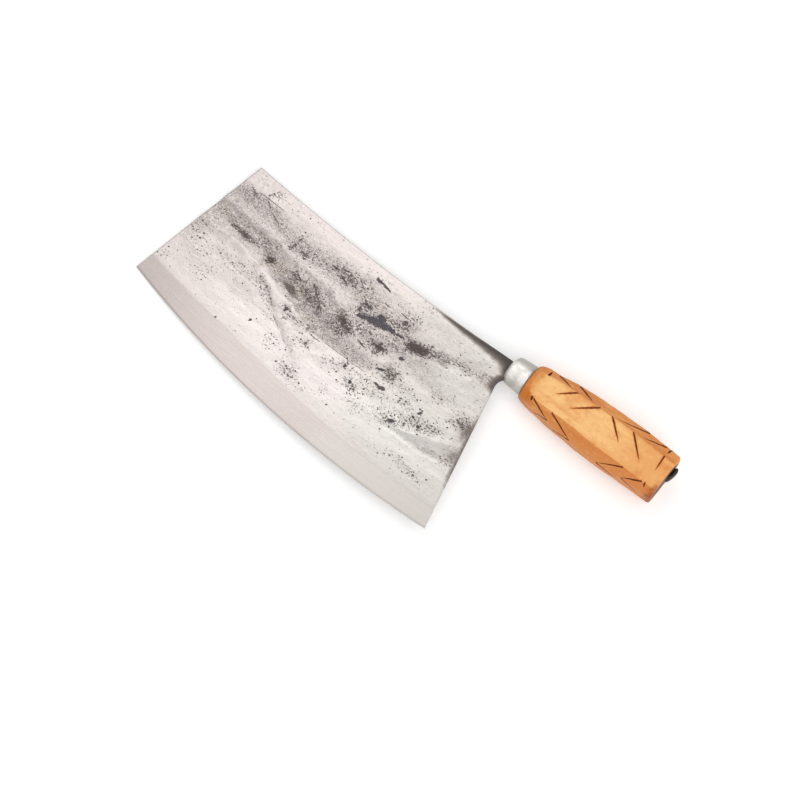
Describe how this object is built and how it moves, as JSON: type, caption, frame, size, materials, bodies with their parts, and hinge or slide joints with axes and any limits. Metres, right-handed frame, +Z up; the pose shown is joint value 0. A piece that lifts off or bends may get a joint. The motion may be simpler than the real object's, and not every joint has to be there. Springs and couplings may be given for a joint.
{
  "type": "chinese cleaver",
  "caption": "Broad rectangular kitchen cleaver with a laminated forged blade, sheet-metal ferrule, octagonal wooden handle with grip cuts and a tang clinched over at the butt.",
  "frame": {"origin": "on the table, under the middle of the lying knife's bounding box", "axes": "+X from the blade's front towards the butt, +Y towards the spine, +Z up; the knife lies on its right side, on the toe, the spine's front corner and the handle's fullest point"},
  "size_m": [0.3069, 0.1167, 0.0289],
  "materials": {
    "edge_steel": "ground satin",
    "cheek_iron": "forged, brushed, with dark scale patches",
    "tang_iron": "heat-blackened iron",
    "ferrule_sheet": "dull zinc-grey sheet",
    "handle_wood": "hand-carved, oiled, with dark grip cuts"
  },
  "bodies": {
    "root": {"core_steel": "edge_steel", "cheek_left": "cheek_iron", "cheek_right": "cheek_iron", "tang": "tang_iron", "ferrule": "ferrule_sheet", "handle": "handle_wood"}
  },
  "joints": []
}
